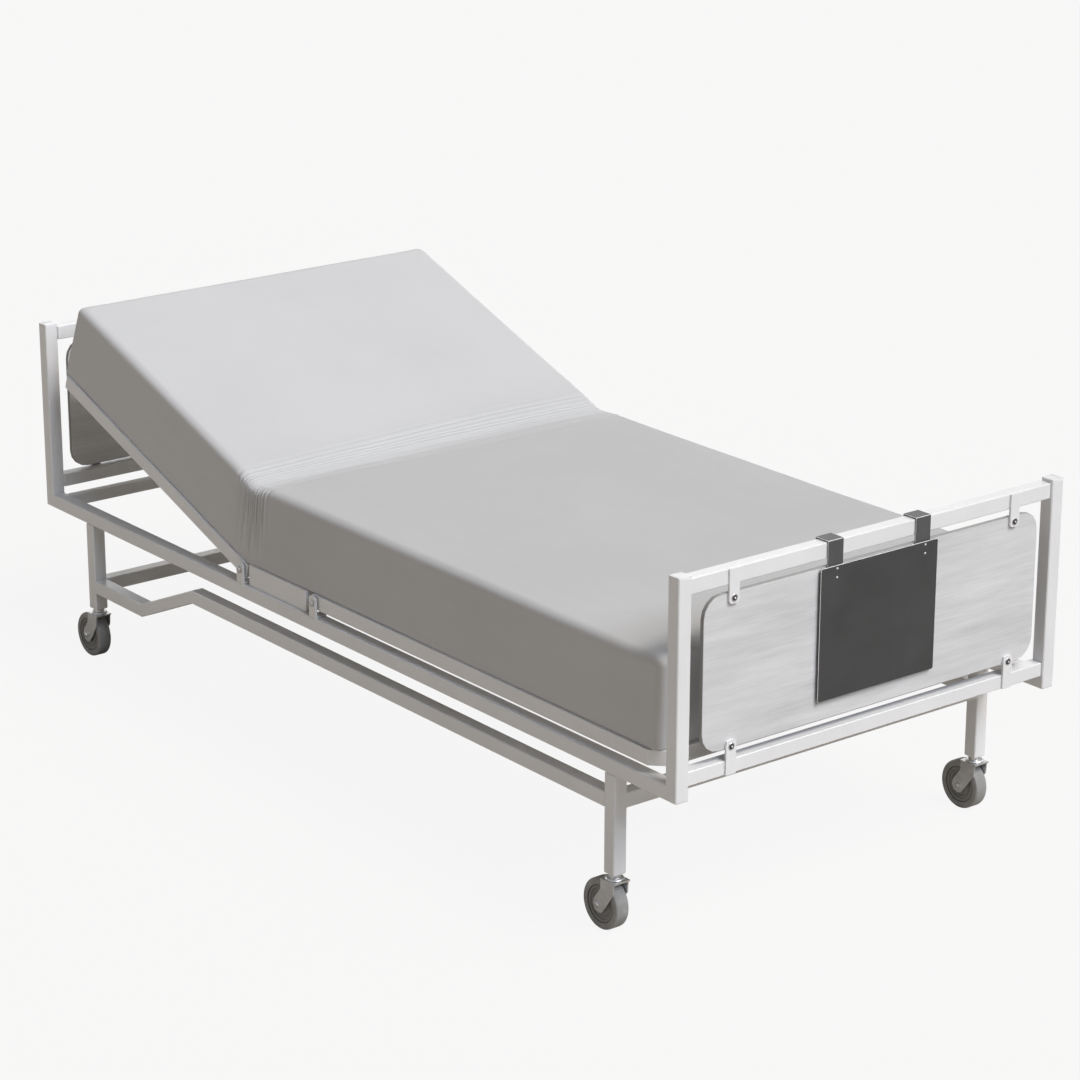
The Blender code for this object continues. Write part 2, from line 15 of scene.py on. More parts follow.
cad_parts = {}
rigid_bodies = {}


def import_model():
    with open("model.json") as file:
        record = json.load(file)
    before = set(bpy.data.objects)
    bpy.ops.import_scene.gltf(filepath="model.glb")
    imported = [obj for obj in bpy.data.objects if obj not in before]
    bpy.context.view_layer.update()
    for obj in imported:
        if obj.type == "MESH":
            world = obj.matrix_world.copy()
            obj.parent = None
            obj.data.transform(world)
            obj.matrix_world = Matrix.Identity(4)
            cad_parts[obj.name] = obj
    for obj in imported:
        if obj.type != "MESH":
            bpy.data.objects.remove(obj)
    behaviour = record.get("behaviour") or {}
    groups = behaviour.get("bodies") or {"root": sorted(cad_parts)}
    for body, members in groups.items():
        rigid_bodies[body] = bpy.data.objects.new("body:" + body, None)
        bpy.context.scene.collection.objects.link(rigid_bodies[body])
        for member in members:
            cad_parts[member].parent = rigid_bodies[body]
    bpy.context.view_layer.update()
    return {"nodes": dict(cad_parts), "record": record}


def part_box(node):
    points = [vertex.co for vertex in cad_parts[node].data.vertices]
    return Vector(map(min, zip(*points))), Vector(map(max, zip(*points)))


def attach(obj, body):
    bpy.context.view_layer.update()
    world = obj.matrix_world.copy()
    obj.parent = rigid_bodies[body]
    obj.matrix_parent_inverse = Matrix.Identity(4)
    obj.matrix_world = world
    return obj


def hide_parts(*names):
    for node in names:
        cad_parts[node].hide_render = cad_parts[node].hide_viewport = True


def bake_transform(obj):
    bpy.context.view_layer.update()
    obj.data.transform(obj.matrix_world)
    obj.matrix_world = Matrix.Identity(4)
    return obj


for old in list(bpy.data.objects):
    bpy.data.objects.remove(old, do_unlink=True)

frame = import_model()
nodes = frame["nodes"]
scene = bpy.context.scene

HINGE_Z = 0.3785
BACK_X = -0.3035  # hinge line of the backrest
LEG_X = -0.0365  # hinge line of the leg section
REST = math.radians(19.44)  # how far the backrest is raised


# ------------------------------------------------------------ shader helpers
def feed(socket, value):
    """Links a value into a socket, or sets it; colours come without alpha."""
    if isinstance(value, bpy.types.NodeSocket):
        socket.id_data.links.new(value, socket)
    elif socket.type == "RGBA":
        socket.default_value = (*value, 1.0)
    else:
        socket.default_value = value


def add_node(tree, kind, **settings):
    """A node with its sockets (underscores for spaces) and properties set."""
    made = tree.nodes.new(kind)
    for key, value in settings.items():
        socket = key.replace("_", " ")
        if socket in made.inputs:
            feed(made.inputs[socket], value)
        else:
            setattr(made, key, value)
    return made


def mix_shader(tree, fac, first, second):
    made = tree.nodes.new("ShaderNodeMixShader")
    for socket, value in zip(made.inputs, (fac, first, second)):
        feed(socket, value)
    return made.outputs[0]


class Look:
    """One principled material; every method hands back an output socket."""

    def __init__(self, name, **inputs):
        self.mat = bpy.data.materials.new(name)
        self.mat.use_nodes = True
        self.tree = self.mat.node_tree
        self.object_coords = None
        self.finish(**inputs)

    def finish(self, **inputs):
        """Feeds the principled shader and returns the material."""
        surface = self.tree.nodes["Principled BSDF"]
        for key, value in inputs.items():
            feed(surface.inputs[key.replace("_", " ")], value)
        return self.mat

    def node(self, kind, **settings):
        return add_node(self.tree, kind, **settings)

    def coords(self, stretch=(1, 1, 1), tilt=0):
        """Object coordinates, stretched, and tilted in degrees about X."""
        if self.object_coords is None:
            self.object_coords = self.node("ShaderNodeTexCoord").outputs["Object"]
        mapping = self.node("ShaderNodeMapping", Scale=stretch,
                            Rotation=(math.radians(tilt), 0, 0), Vector=self.object_coords)
        return mapping.outputs["Vector"]

    def noise(self, scale, detail=3.0, roughness=0.5, **placing):
        made = self.node("ShaderNodeTexNoise", Scale=scale, Detail=detail, Roughness=roughness,
                         Vector=self.coords(**placing))
        return made.outputs["Fac"]

    def ramp(self, fac, *stops):
        """A colour ramp through (position, colour) stops."""
        made = self.node("ShaderNodeValToRGB", Fac=fac)
        elements = made.color_ramp.elements
        while len(elements) < len(stops):
            elements.new(0.5)
        for element, (position, colour) in zip(elements, stops):
            element.position = position
            element.color = (*colour, 1.0)
        return made.outputs["Color"]

    def to_range(self, value, low, high, **more):
        made = self.node("ShaderNodeMapRange", To_Min=low, To_Max=high, Value=value, **more)
        return made.outputs["Result"]

    def calc(self, operation, *values):
        made = self.node("ShaderNodeMath", operation=operation)
        for socket, value in zip(made.inputs, values):
            feed(socket, value)
        return made.outputs[0]

    def mix(self, fac, first, second, **more):
        made = self.node("ShaderNodeMix", data_type="RGBA", **more)
        # sockets 6 and 7 are the node's colour pair
        for index, value in ((0, fac), (6, first), (7, second)):
            feed(made.inputs[index], value)
        return made.outputs[2]

    def bump(self, height, strength, distance, **more):
        made = self.node("ShaderNodeBump", Strength=strength, Distance=distance,
                         Height=height, **more)
        return made.outputs["Normal"]

    def x_of(self, vector):
        return self.node("ShaderNodeSeparateXYZ", Vector=vector).outputs["X"]


# ---------------------------------------------------------------- materials
def white_paint():
    """Powder coat with a slight orange peel."""
    look = Look("powder_coat_white", Base_Color=(0.80, 0.80, 0.81), Roughness=0.36,
                Coat_Weight=0.25, Coat_Roughness=0.22)
    dust = look.noise(scale=55, detail=4.0)
    tone = look.ramp(look.noise(scale=7),
                     (0.30, (0.805, 0.805, 0.810)), (0.70, (0.855, 0.855, 0.860)))
    peel = look.bump(look.noise(scale=260, detail=2.0), strength=0.18, distance=0.0006)
    fine = look.noise(scale=900, detail=2.0)
    return look.finish(
        Base_Color=look.mix(look.to_range(dust, low=0.0, high=0.10), tone, (0.76, 0.75, 0.73)),
        Roughness=look.to_range(dust, low=0.30, high=0.44),
        Normal=look.bump(fine, strength=0.06, distance=0.0002, Normal=peel))


def laminate():
    """Whitewashed wood-look laminate, its streaks along the panel's length."""
    look = Look("laminate_whitewashed", Base_Color=(0.72, 0.72, 0.73), Roughness=0.42,
                Coat_Weight=0.12, Coat_Roughness=0.3)
    # the panels face along X, so the pattern lies in Y and Z
    streak = look.noise(scale=3.4, detail=6.0, roughness=0.62, stretch=(1, 1.0, 11.0), tilt=-7)
    fibre = look.noise(scale=9.0, detail=5.0, roughness=0.7, stretch=(1, 1.3, 24.0), tilt=-4)
    cloud = look.noise(scale=4.5, stretch=(1, 0.8, 1.6))
    tone = look.ramp(streak, (0.32, (0.500, 0.500, 0.508)), (0.50, (0.640, 0.640, 0.648)),
                     (0.68, (0.780, 0.780, 0.788)))
    fine = look.ramp(fibre, (0.35, (0.56, 0.56, 0.565)), (0.62, (0.74, 0.74, 0.745)))
    wood = look.mix(0.38, tone, fine)
    wood = look.mix(look.to_range(cloud, low=-0.35, high=0.75), wood, (0.775, 0.775, 0.783))
    # the cut edge is a darker band of core
    normal = look.node("ShaderNodeTexCoord").outputs["Normal"]
    face = look.calc("GREATER_THAN", look.calc("ABSOLUTE", look.x_of(normal)), 0.80)
    return look.finish(
        Base_Color=look.mix(face, (0.30, 0.295, 0.285), wood),
        Roughness=look.to_range(fibre, low=0.36, high=0.52),
        Normal=look.bump(fibre, strength=0.10, distance=0.0004))


def dark_sheet(name, low, high, rough):
    """Dark coated sheet: faint mottling from low to high and a fine grain."""
    look = Look(name, Base_Color=low, Roughness=rough)
    grain = look.noise(scale=420)
    return look.finish(
        Base_Color=look.ramp(look.noise(scale=14), (0.3, low), (0.7, high)),
        Roughness=look.to_range(grain, low=rough - 0.07, high=rough + 0.09),
        Normal=look.bump(grain, strength=0.08, distance=0.0003))


def painted_edge_highlight():
    """Pale strips on the dark sheets' bevelled edges: a painted highlight where the edges catch
    the light.
    """
    look = Look("sheet_edge_painted_highlight", Base_Color=(0.78, 0.78, 0.79), Roughness=0.30)
    return look.finish(
        Base_Color=look.ramp(look.noise(scale=160),
                             (0.35, (0.66, 0.66, 0.67)), (0.6, (0.86, 0.86, 0.87))),
        Roughness=look.to_range(look.noise(scale=300, detail=2.0), low=0.24, high=0.40))


def zinc(name, colour, rough):
    """Plated metal with a soft spangle and fine scratches."""
    look = Look(name, Base_Color=colour, Roughness=rough, Metallic=1.0)
    scratch = look.noise(scale=40, detail=4.0, stretch=(1, 1, 14))
    dark = tuple(c * 0.82 for c in colour)
    return look.finish(
        Base_Color=look.ramp(look.noise(scale=60), (0.3, dark), (0.7, colour)),
        Roughness=look.to_range(scratch, low=rough - 0.08, high=rough + 0.14),
        Normal=look.bump(scratch, strength=0.08, distance=0.0004))


def chrome():
    look = Look("actuator_rod_chrome", Base_Color=(0.80, 0.80, 0.81), Roughness=0.12,
                Metallic=1.0)
    turned = look.noise(scale=90, detail=2.0, stretch=(14, 1, 14))
    return look.finish(Roughness=look.to_range(turned, low=0.08, high=0.20))


def plastic(name, colour, rough):
    """Moulded plastic, a little cloudy, with a fine grain."""
    look = Look(name, Base_Color=colour, Roughness=rough)
    grain = look.noise(scale=700, detail=2.0)
    dark, light = (tuple(c * tint for c in colour) for tint in (0.9, 1.08))
    return look.finish(
        Base_Color=look.ramp(look.noise(scale=20), (0.3, dark), (0.7, light)),
        Roughness=look.to_range(grain, low=rough - 0.08, high=rough + 0.08),
        Normal=look.bump(grain, strength=0.16, distance=0.0003))


def tyre_rubber():
    look = Look("tyre_grey_rubber", Base_Color=(0.32, 0.315, 0.305), Roughness=0.62)
    dust = look.noise(scale=46, detail=5.0)
    return look.finish(
        Base_Color=look.ramp(dust, (0.35, (0.275, 0.273, 0.267)), (0.68, (0.365, 0.360, 0.350))),
        Roughness=look.to_range(look.noise(scale=380, detail=2.0), low=0.62, high=0.82),
        Normal=look.bump(look.noise(scale=500), strength=0.2, distance=0.0003))


def mattress_cloth():
    """Smooth stretch cover: a fine knit, soft sheen, and painted light on the backrest end with
    painted shade on the seat end.
    """
    look = Look("mattress_cover", Base_Color=(0.57, 0.57, 0.57), Roughness=0.86,
                Sheen_Weight=0.06, Sheen_Roughness=0.5, Specular_IOR_Level=0.25)
    mottle = look.noise(scale=24, detail=4.0)
    tone = look.ramp(look.noise(scale=2.2, detail=4.0),
                     (0.30, (0.590, 0.590, 0.594)), (0.70, (0.622, 0.622, 0.627)))
    tone = look.mix(look.to_range(mottle, low=0.0, high=0.14), tone, (0.52, 0.52, 0.52))
    # painted light and shade: the backrest end is painted lighter and the seat end darker, as
    # the light falls on them
    painted_shade_toward_seat = look.to_range(look.x_of(look.coords()), low=0.0, high=1.0, From_Min=-0.43,
                         From_Max=-0.20, interpolation_type="SMOOTHSTEP")
    shade = look.mix(painted_shade_toward_seat, (1.035, 1.035, 1.035), (0.955, 0.955, 0.955))
    tone = look.mix(1.0, tone, shade, blend_type="MULTIPLY")
    across_x, across_y, across_z = (
        look.node("ShaderNodeTexWave", wave_type="BANDS", bands_direction=direction,
                  Scale=260.0, Distortion=0.6, Detail=1.0, Detail_Scale=2.0,
                  Vector=look.coords()).outputs["Fac"]
        for direction in "XYZ")
    knit = look.calc("ADD", look.calc("MULTIPLY", across_x, across_y),
                     look.calc("MULTIPLY", across_z, 0.5))
    slub = look.bump(look.noise(scale=130), strength=0.10, distance=0.0008)
    return look.finish(
        Base_Color=look.mix(look.to_range(knit, low=0.0, high=0.10), tone, (0.45, 0.45, 0.45)),
        Roughness=look.to_range(mottle, low=0.74, high=0.92),
        Normal=look.bump(knit, strength=0.20, distance=0.0003, Normal=slub))


WHITE = white_paint()
LAMINATE = laminate()
BOARD = dark_sheet("chart_board_dark", low=(0.046, 0.046, 0.047), high=(0.058, 0.058, 0.059),
                   rough=0.50)
HOOK = dark_sheet("hook_dark_steel", low=(0.070, 0.070, 0.073), high=(0.095, 0.095, 0.098),
                  rough=0.42)
# pale strips on the dark sheets' bevels: a painted highlight
EDGE_HIGHLIGHT = painted_edge_highlight()
ZINC = zinc("zinc_plate", colour=(0.74, 0.745, 0.75), rough=0.34)
BOLT = zinc("bolt_zinc", colour=(0.62, 0.62, 0.63), rough=0.30)
CHROME = chrome()
GREY = plastic("actuator_housing_grey", colour=(0.24, 0.245, 0.25), rough=0.52)
BOX_GREY = plastic("control_box_grey", colour=(0.30, 0.305, 0.31), rough=0.58)
TYRE = tyre_rubber()
DISC = plastic("wheel_disc_grey", colour=(0.255, 0.252, 0.243), rough=0.50)
# darker grey for the wheels' recessed rings: painted shade
GROOVE_SHADE = plastic("wheel_groove_painted_shade", colour=(0.13, 0.128, 0.125), rough=0.60)
SCREW_DARK = zinc("screw_recess_dark", colour=(0.10, 0.10, 0.105), rough=0.45)
WHITE_RIVET = plastic("rivet_white", colour=(0.80, 0.80, 0.80), rough=0.35)
BLACK = plastic("cable_black", colour=(0.03, 0.03, 0.032), rough=0.50)
CLOTH = mattress_cloth()


# --------------------------------------------------------------- CAD pieces
EASED_IN_CAD = ("side_frame", "lower_rail", "head_leg_frame", "foot_leg_frame",
                "head_cross_tube", "seat_beam", "head_top", "head_bottom", "foot_top",
                "foot_bottom")
WELD_GAP = 0.00001
BEVEL_ANGLE, SPLIT_ANGLE = math.radians(60), math.radians(31)


def soften(obj, mat, width=0.0, edge=None):
    """A CAD node's finish: its material, crisp flats, eased edges and smooth rounds."""
    obj.data.materials.clear()
    obj.data.materials.append(mat)
    if edge is not None:
        obj.data.materials.append(edge)
    weld = obj.modifiers.new("Weld", "WELD")
    weld.merge_threshold = WELD_GAP
    if width:
        bevel = obj.modifiers.new("Edges", "BEVEL")
        bevel.width = width
        bevel.segments = 1
        bevel.limit_method = "ANGLE"
        bevel.angle_limit = BEVEL_ANGLE
        bevel.harden_normals = False
        # the bevel strips take the edge material; on the dark sheets it is a painted highlight
        bevel.material = 1 if edge is not None else -1
    for polygon in obj.data.polygons:
        polygon.use_smooth = True
    crisp = obj.modifiers.new("Crisp", "EDGE_SPLIT")
    crisp.split_angle = SPLIT_ANGLE


def dress(name, obj, kind):
    """Gives a CAD node the finish of its kind."""
    if kind == "white_paint":
        if name.startswith(EASED_IN_CAD) or name.endswith("_deck"):
            soften(obj, WHITE)
        else:
            broad = "frame" in name or "platform" in name
            soften(obj, WHITE, width=0.0014 if broad else 0.0006)
    elif kind == "laminate":
        soften(obj, LAMINATE, width=0.0012)
    elif kind == "dark_board":
        # the dark sheets' bevels carry a pale painted highlight
        soften(obj, HOOK if "hook" in name else BOARD, width=0.0008, edge=EDGE_HIGHLIGHT)
    elif kind == "chrome_rod":
        soften(obj, CHROME)
    elif kind == "grey_plastic":
        soften(obj, BOX_GREY if name == "control_box" else GREY)
    elif name.startswith("screw"):
        soften(obj, SCREW_DARK)
    elif "bolt" in name:
        soften(obj, BOLT)
    else:
        soften(obj, ZINC)


slot_of = {part["node"]: part["material_slot"] for part in frame["record"]["subparts"]}
for name, obj in nodes.items():
    kind = slot_of.get(name, "")
    # the mattress and the wheels are replaced below
    if kind != "mattress" and not name.startswith("caster_wheel"):
        dress(name, obj, kind)


# ------------------------------------------------------------ mesh helpers
def new_mesh(name, verts, faces, mats=(), face_mats=None):
    """A smooth-shaded mesh; face_mats is a material index per face."""
    mesh = bpy.data.meshes.new(name)
    mesh.from_pydata([tuple(v) for v in verts], [], [tuple(f) for f in faces])
    mesh.update()
    for mat in mats:
        mesh.materials.append(mat)
    mesh.polygons.foreach_set("use_smooth", [True] * len(mesh.polygons))
    if face_mats is not None:
        mesh.polygons.foreach_set("material_index", face_mats)
    return mesh


def mesh_from(name, bm):
    mesh = bpy.data.meshes.new(name)
    bm.to_mesh(mesh)
    bm.free()
    return mesh


def place(name, data):
    obj = bpy.data.objects.new(name, data)
    scene.collection.objects.link(obj)
    return obj


def lathe(name, profile, centre, axis, steps, mats, bands=None, closed=False, sharp=35):
    """A profile of (radius, along) points turned about an axis through centre.

    bands holds a material index per stretch of profile; sharp is in degrees.
    """
    centre, axis = Vector(centre), Vector(axis).normalized()
    side = axis.orthogonal().normalized()
    other = axis.cross(side)
    rings, verts, faces, face_mats = [], [], [], []
    for radius, height in profile:
        if radius < 1e-6:
            rings.append([len(verts)])
            verts.append(centre + axis * height)
            continue
        rings.append(range(len(verts), len(verts) + steps))
        for i in range(steps):
            turn = 2 * math.pi * i / steps
            outward = side * math.cos(turn) + other * math.sin(turn)
            verts.append(centre + axis * height + outward * radius)
    pairs = list(zip(rings, rings[1:]))
    if closed:
        pairs.append((rings[-1], rings[0]))
    for k, (ring, after) in enumerate(pairs):
        for i in range(steps):
            j = (i + 1) % steps
            if len(ring) == 1:
                faces.append((ring[0], after[i], after[j]))
            elif len(after) == 1:
                faces.append((ring[i], after[0], ring[j]))
            else:
                faces.append((ring[i], after[i], after[j], ring[j]))
            face_mats.append(bands[k] if bands else 0)
    mesh = new_mesh(name, verts, faces, mats, face_mats)
    bm = bmesh.new()
    bm.from_mesh(mesh)
    bmesh.ops.recalc_face_normals(bm, faces=bm.faces)
    bm.to_mesh(mesh)
    bm.free()
    mesh.set_sharp_from_angle(angle=math.radians(sharp))
    return place(name, mesh)


def ridden(obj, body):
    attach(obj, body)


def middle(low, high):
    return (Vector(low) + Vector(high)) / 2


# ------------------------------------------------------------------ casters
WHEEL_HALF_WIDTH = 0.0148
SWIVEL_OFFSET = 0.025  # from the axle to the swivel, along X
WHEEL_MATS = [ZINC, DISC, TYRE, GROOVE_SHADE]
# From hub to tread: a material, then its (radius, height beyond the half width) points. The
# recessed rings' darker grey is painted shade.
WHEEL_HALF = [
    (ZINC, [(0.0044, 0.0006), (0.0095, 0.0006), (0.0108, -0.0002)]),
    (GROOVE_SHADE, [(0.0112, -0.0032)]),
    (DISC, [(0.0150, -0.0038), (0.0156, -0.0026), (0.0166, -0.0026), (0.0172, -0.0042),
            (0.0235, -0.0050), (0.0241, -0.0036), (0.0252, -0.0036), (0.0258, -0.0050),
            (0.0300, -0.0048), (0.0310, -0.0024), (0.0345, -0.0014)]),
    (GROOVE_SHADE, [(0.0356, -0.0018), (0.0360, -0.0030), (0.0368, -0.0030)]),
    (TYRE, [(0.0373, -0.0008), (0.0440, -0.0001), (0.0472, -0.0003), (0.0488, -0.0009),
            (0.0498, -0.0021), (0.0503, -0.0042), (0.0503, -0.0100)]),
]
# (radius, height above the floor) of the swivel race cover
RACE = [(0.0122, 0.1067), (0.0174, 0.1067), (0.0181, 0.1072), (0.0181, 0.1084),
        (0.0168, 0.1102), (0.0145, 0.1112), (0.0122, 0.1114)]
# (radius, distance from the wheel's middle) of an axle cap
AXLE_CAP = [(0, 0.0240), (0.0026, 0.0238), (0.0044, 0.0230), (0.0052, 0.0219)]


def caster_wheel(tag, centre):
    """A moulded disc with rings and a rubber tread, the same on both faces."""
    half = [(radius, WHEEL_HALF_WIDTH + rise) for _, points in WHEEL_HALF
            for radius, rise in points]
    bands = [WHEEL_MATS.index(mat) for mat, points in WHEEL_HALF for _ in points]
    profile = half + [(radius, -height) for radius, height in reversed(half)]
    # the last band lines the bore
    bands += bands[-2::-1] + [WHEEL_MATS.index(ZINC)]
    wheel = lathe(f"wheel_{tag}", profile, centre, axis=(0, 1, 0), steps=64,
                  mats=WHEEL_MATS, bands=bands, closed=True, sharp=50)
    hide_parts(f"caster_wheel_{tag}")
    ridden(wheel, f"wheel_{tag}")


def caster_fittings(tag, centre):
    """The race cover round the neck and a cap on each end of the axle."""
    race = lathe(f"race_{tag}", RACE, (centre.x + SWIVEL_OFFSET, centre.y, 0),
                 axis=(0, 0, 1), steps=40, mats=[ZINC], closed=True)
    ridden(race, f"caster_{tag}")
    for hand, sign in (("in", -1), ("out", 1)):
        cap = lathe(f"axle_cap_{tag}_{hand}", AXLE_CAP, centre, axis=(0, sign, 0), steps=24,
                    mats=[BOLT])
        ridden(cap, f"caster_{tag}")


for tag in ("head_near", "head_far", "foot_near", "foot_far"):
    centre = middle(*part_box(f"caster_wheel_{tag}"))
    caster_wheel(tag, centre)
    caster_fittings(tag, centre)


# --------------------------------------------------------- screws and rivets
PANEL_FACE_X = 1.1022  # outer face of the end panels
# (radius, height off the face) of the small turned pieces
SCREW_CENTRE = [(0, 0.0007), (0.0012, 0.0007), (0.0019, 0.0002), (0.0019, -0.0004)]
SCREW_WASHER = [(0.0054, 0.0002), (0.0066, 0.0004), (0.0070, 0.0), (0.0070, -0.0002),
                (0.0054, -0.0002)]
RIVET = [(0, 0.0010), (0.0012, 0.0009), (0.0020, 0.0004), (0.0022, -0.0001)]
RIVET_Y, RIVET_Z = (-0.107, 0.114), (0.685, 0.668)


def panel_screw(name):
    """A light centre on the screw's head and a washer round it."""
    low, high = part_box(name)
    centre = middle(low, high)
    sign = 1 if centre.x > 0 else -1
    face_x = high[0] if sign > 0 else low[0]
    stud = lathe(f"{name}_centre", SCREW_CENTRE, (face_x, centre.y, centre.z),
                 axis=(sign, 0, 0), steps=18, mats=[WHITE_RIVET])
    ridden(stud, "base")
    washer = lathe(f"{name}_washer", SCREW_WASHER, (sign * PANEL_FACE_X, centre.y, centre.z),
                   axis=(sign, 0, 0), steps=28, mats=[BOLT], closed=True)
    ridden(washer, "base")


def board_rivets():
    """White rivets that hold the board to its hooks."""
    face_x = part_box("chart_board")[1][0]
    for k, y in enumerate(RIVET_Y):
        for j, z in enumerate(RIVET_Z):
            rivet = lathe(f"board_rivet_{k}_{j}", RIVET, (face_x, y, z), axis=(1, 0, 0),
                          steps=18, mats=[WHITE_RIVET])
            ridden(rivet, "chart")


for name in list(nodes):
    if name.startswith("screw_"):
        panel_screw(name)
board_rivets()


# --------------------------------------------------------------- post plugs
POST_X, POST_Y = 1.0867, 0.465
PLUG_Z = 0.7412
PLUG_SIZE = (0.0294, 0.0294, 0.0036)
PLUG_EDGE = 0.0011


def post_plug(name, x, y):
    """A plug that closes the top of a corner post."""
    bm = bmesh.new()
    bmesh.ops.create_cube(bm, size=1.0)
    bmesh.ops.scale(bm, vec=PLUG_SIZE, verts=bm.verts)
    bmesh.ops.bevel(bm, geom=bm.edges[:], offset=PLUG_EDGE, segments=3, profile=0.5,
                    affect="EDGES")
    bmesh.ops.translate(bm, vec=(x, y, PLUG_Z), verts=bm.verts)
    mesh = mesh_from("plug", bm)
    mesh.materials.append(WHITE)
    mesh.shade_smooth()
    ridden(place(name, mesh), "base")


for end, x in (("head", -POST_X), ("foot", POST_X)):
    for side, y in (("near", -POST_Y), ("far", POST_Y)):
        post_plug(f"post_plug_{end}_{side}", x, y)


# ------------------------------------------------------------------- cables
CABLE_TUCK = 0.001  # how far a cable starts inside the control box
MOTOR_CABLE, MAINS_CABLE = 0.0028, 0.0032  # radii


def cable(name, points, radius):
    curve = bpy.data.curves.new(name, "CURVE")
    curve.dimensions = "3D"
    curve.bevel_depth = radius
    curve.bevel_resolution = 3
    curve.use_fill_caps = True
    spline = curve.splines.new("BEZIER")
    spline.bezier_points.add(len(points) - 1)
    for knot, point in zip(spline.bezier_points, points):
        knot.co = point
        knot.handle_left_type = knot.handle_right_type = "AUTO"
    curve.materials.append(BLACK)
    ridden(place(name, curve), "base")


box_low, box_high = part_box("control_box")
near_y, far_y = box_low[1] + CABLE_TUCK, box_high[1] - CABLE_TUCK
cable("cable_backrest_motor", [
    (-0.170, near_y, 0.290), (-0.170, 0.13, 0.286), (-0.162, 0.02, 0.300),
    (-0.156, -0.030, 0.3065), (-0.160, -0.034, 0.3120)], MOTOR_CABLE)
cable("cable_leg_motor", [
    (-0.185, near_y, 0.300), (-0.188, 0.14, 0.300), (-0.196, 0.098, 0.306),
    (-0.198, 0.094, 0.3130)], MOTOR_CABLE)
cable("cable_mains", [
    (-0.160, far_y, 0.285), (-0.165, 0.40, 0.285), (-0.25, 0.440, 0.300),
    (-0.50, 0.4445, 0.326), (-0.88, 0.4445, 0.326)], MAINS_CABLE)


# ------------------------------------------------------- mattress dimensions
HALF_W = 0.4695
BOTTOM, TOP = 0.0153, 0.1955  # above the hinge line
HEAD_END, FOOT_END = BACK_X - 0.7682, LEG_X + 1.0715
FOLD_LOW, FOLD_TOP = 0.052, 0.104  # half the length of cover that takes up the bend
ROLL_TOP, ROLL_LOW, ROLL_POST = 0.018, 0.0032, 0.014  # edge radii: top, underside, corners
SWELL = 0.0028  # how far the cover swells
LEAN_HEAD, LEAN_FOOT = 0.0115, 0.008  # how far each end leans toward the foot at its top
LEAN_FROM, LEAN_OVER = 0.85, 0.2  # where along X the lean begins, and its run
FAR = 9  # beyond any part of the bed

# grid spacing close to the rims: the distance covered and the two steps
NEAR_RIM, NEAR_STEP, RIM_STEP = 0.05, 0.008, 0.0031
FOLD_FROM, FOLD_TO = -0.425, -0.180
# the cover's grid rows, as shares of its height
ROWS = [0, 0.012, 0.026, 0.06, 0.11, 0.17, 0.24, 0.31, 0.38, 0.45, 0.52, 0.59,
        0.66, 0.73, 0.79, 0.84, 0.88, 0.91, 0.932, 0.95, 0.967, 0.984, 1]

# the fold's creases: (distance from the hinge along X, strength)
CREASES = [(-0.090, 0.35), (-0.073, 0.70), (-0.058, 0.55), (-0.044, 1.0), (-0.029, 0.75),
           (-0.015, 1.0), (0.000, 0.80), (0.014, 1.0), (0.029, 0.85), (0.045, 1.0),
           (0.060, 0.65), (0.078, 0.90), (0.097, 0.30)]
FAN_NEAR, FAN_FAR = 0.90, 1.16  # spread of the creases at the near and far edges
SPLIT_X = -0.158  # where the cover parts into its head and foot halves


# ----------------------------------------------------------- mattress shape
def grid_line(low, high, coarse, zones):
    """Coordinates from low to high, finer inside the (from, to, step) zones."""
    out, x = [low], low
    while x < high - 1e-6:
        step = coarse
        for start, stop, fine in zones:
            if start - step < x < stop:
                step = min(step, fine)
        x = min(high, x + step)
        out.append(x)
    if out[-1] - out[-2] < 0.0015:
        out.pop(-2)
    return np.array(out)


def rim_zones(start, stop, first, last):
    """Finer zones at both ends of a span; first and last are the finest lengths."""
    return [(-FAR, start + first, RIM_STEP), (-FAR, start + NEAR_RIM, NEAR_STEP),
            (stop - NEAR_RIM, FAR, NEAR_STEP), (stop - last, FAR, RIM_STEP)]


def slab_surface(xs, ys, zs):
    """The surface of a box as a welded grid: (vertices, quads)."""
    index, verts, quads = {}, [], []

    def quad(*corners):
        for i, j, k in corners:
            if (i, j, k) not in index:
                index[i, j, k] = len(verts)
                verts.append((xs[i], ys[j], zs[k]))
        quads.append(tuple(index[corner] for corner in corners))

    nx, ny, nz = len(xs) - 1, len(ys) - 1, len(zs) - 1
    for i in range(nx):
        for j in range(ny):
            quad((i, j, nz), (i + 1, j, nz), (i + 1, j + 1, nz), (i, j + 1, nz))
            quad((i, j, 0), (i, j + 1, 0), (i + 1, j + 1, 0), (i + 1, j, 0))
    for i in range(nx):
        for k in range(nz):
            quad((i, 0, k), (i + 1, 0, k), (i + 1, 0, k + 1), (i, 0, k + 1))
            quad((i, ny, k), (i, ny, k + 1), (i + 1, ny, k + 1), (i + 1, ny, k))
    for j in range(ny):
        for k in range(nz):
            quad((0, j, k), (0, j, k + 1), (0, j + 1, k + 1), (0, j + 1, k))
            quad((nx, j, k), (nx, j + 1, k), (nx, j + 1, k + 1), (nx, j, k + 1))
    return np.array(verts, float), quads


def ease(distance, over):
    """A smooth step from 0 to 1 as distance goes from 0 to over."""
    t = np.clip(distance / over, 0, 1)
    return t * t * (3 - 2 * t)


def bell(distance, width, height):
    return np.exp(-(distance / width) ** 2) * height


